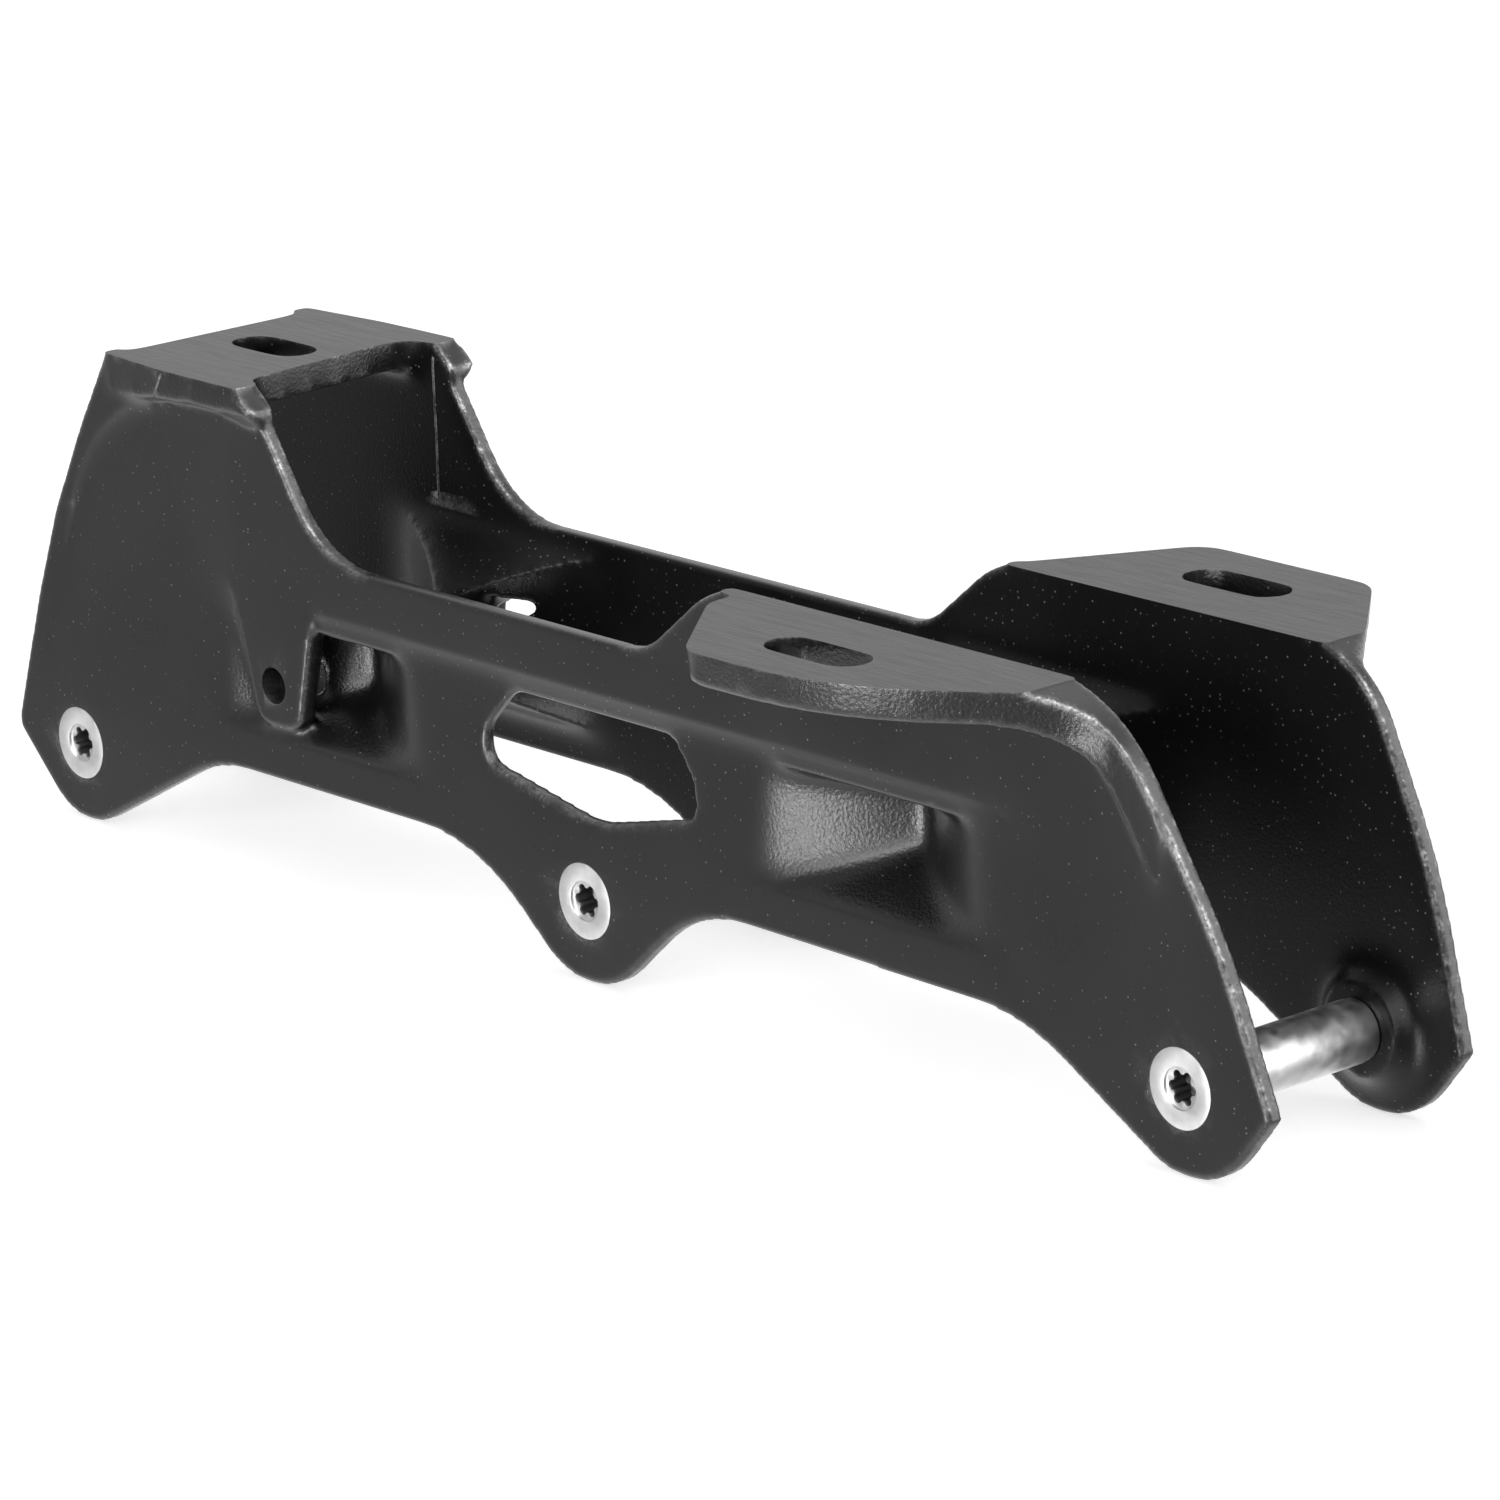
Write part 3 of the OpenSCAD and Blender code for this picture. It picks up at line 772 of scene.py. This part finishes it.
# Rubbed edges: wear and a painted highlight, as a paler base colour and bare metal.
tone = calc(add, "MULTIPLY_ADD", edge, 0.36, tone)
top = add("Attribute", attribute_name="topping").outputs["Fac"]
surface = add("BsdfPrincipled", {
    "Base Color": calc(add, "MULTIPLY_ADD", top, 0.016, tone),
    "Metallic": calc(add, "MULTIPLY", edge, 0.80),
    "Roughness": calc(add, "MULTIPLY_ADD", top, 0.14, gloss),
    # Painted shade: the coat mirrors less between the walls.
    "Specular IOR Level": ranged(add, inside, 0.0, 1.0, 0.5, 0.2),
    "Normal": bump,
})
add("OutputMaterial", {"Surface": surface.outputs[0]})
casting_mesh.materials.append(coat)
print("coat:", len(coat.node_tree.nodes), "nodes")

# %% [markdown]
# The mounting faces are milled flat and then blackened, so the coat is thinner there
# and fine lines run along the frame. Noise that is stretched along X gives such lines:
# the coordinates are scaled before the noise reads them.

# %% Milled faces
line_length, line_width = 9.0, 0.55
milled_grain_size = 0.40
milled_height = 0.035

milled, add = finish_of("milled_face")
place = add("TexCoord").outputs["Object"]
stretch = (1 / (line_length * MM), 1 / (line_width * MM), 1 / (line_length * MM))
drawn = add("Mapping", {"Vector": place, "Scale": stretch}).outputs[0]
lines = add("TexNoise", {"Vector": drawn, "Scale": 1.0, "Detail": 4.0, "Roughness": 0.65}).outputs["Fac"]
height = calc(add, "MULTIPLY_ADD", noise(add, place, milled_grain_size, 2.0), 1.6, lines)
surface = add("BsdfPrincipled", {
    "Base Color": ranged(add, lines, 0.3, 0.7, 0.014, 0.030),
    "Roughness": ranged(add, lines, 0.3, 0.7, 0.48, 0.40),
    "Specular IOR Level": 0.5,
    "Normal": add("Bump", {"Height": height, "Strength": 1.0, "Distance": milled_height * MM}).outputs[0],
})
add("OutputMaterial", {"Surface": surface.outputs[0]})
casting_mesh.materials.append(milled)
print("milled faces:", len(milled.node_tree.nodes), "nodes")

# %% [markdown]
# The axles are turned from bright steel. The CAD solid already has the head, the star
# socket and the shoulder, so a merged copy of it only gets a small bevel on its edges.
# A lathe leaves rings, and their distance from the axle's own line isn't in the Object
# coordinates. So each point keeps its place on its own axle as an attribute.

# %% Axle pieces
edge_break = 0.14 * MM
broken_turn = np.radians(40)
smooth_turn = np.radians(30)


def turned_piece(name, x):
    """The axle of that node with broken edges.

    The attribute own_place is each point's place less a point on the axle's own line.
    """
    mesh = worked(
        merged_copy(frame["nodes"][name]), "BEVEL", width=edge_break, segments=2, limit_method="ANGLE",
        angle_limit=broken_turn, use_clamp_overlap=True,
    )
    mesh.name = name + "_turned"
    mesh.polygons.foreach_set("use_smooth", np.ones(len(mesh.polygons), bool))
    mesh.set_sharp_from_angle(angle=smooth_turn)
    own_place = read_array(mesh.vertices, "co", 3) - [x * MM, 0, axle_z * MM]
    mesh.attributes.new("own_place", "FLOAT_VECTOR", "POINT").data.foreach_set("vector", own_place.ravel())
    mesh.materials.clear()
    piece = bpy.data.objects.new(mesh.name, mesh)
    scene.collection.objects.link(piece)
    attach(piece, frame["nodes"][name]["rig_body"])
    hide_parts(name)
    return piece


axles = [turned_piece(name, x) for name, x in zip(axle_nodes, axle_x)]
print("axles:", [(axle.name, len(axle.data.polygons)) for axle in axles])

# %% [markdown]
# Turned steel is bright and a little dull at once: the tool's fine rings spread what it
# mirrors. One noise of the distance from the axle's line, plus the place along it, gives
# rings on the head and along the shaft alike. The star socket is darkened with painted
# shade, as a recess gets little light.

# %% Turned steel
ring_spacing = 0.16
ring_height = 0.006
smear_size = 1.8
socket_radius = 3.1
socket_margin = 0.2
socket_shade_start, socket_shade_full = 0.15, 0.9

steel, add = finish_of("turned_steel")
own = add("Attribute", attribute_name="own_place").outputs["Vector"]
own_parts = add("SeparateXYZ", {0: own}).outputs
flat = add("CombineXYZ", {"X": own_parts["X"], "Y": own_parts["Z"]}).outputs[0]
radius = add("VectorMath", {0: flat}, operation="LENGTH").outputs["Value"]
feed = {"W": calc(add, "ADD", radius, own_parts["Y"]), "Scale": 1 / (ring_spacing * MM), "Detail": 2.0}
rings = add("TexNoise", feed, noise_dimensions="1D").outputs["Fac"]
smear = noise(add, own, smear_size, 3.0)
# Painted shade in the star socket: the base colour drops deep inside it.
in_socket = ranged(add, own_parts["Y"], (socket_shade_start - wall_y) * MM, (socket_shade_full - wall_y) * MM, 0.0, 1.0)
off_socket = ranged(add, radius, socket_radius * MM, (socket_radius + socket_margin) * MM, 0.0, 1.0)
socket_shade = calc(add, "SUBTRACT", in_socket, off_socket, use_clamp=True)
tone = ranged(add, smear, 0.3, 0.7, 0.68, 0.80)
surface = add("BsdfPrincipled", {
    "Base Color": calc(add, "MULTIPLY", tone, ranged(add, socket_shade, 0.0, 1.0, 1.0, 0.22)),
    "Metallic": 1.0,
    "Roughness": ranged(add, smear, 0.3, 0.7, 0.32, 0.42),
    "Normal": add("Bump", {"Height": rings, "Strength": 1.0, "Distance": ring_height * MM}).outputs[0],
})
add("OutputMaterial", {"Surface": surface.outputs[0]})
for axle in axles:
    axle.data.materials.append(steel)
print("steel:", len(steel.node_tree.nodes), "nodes")
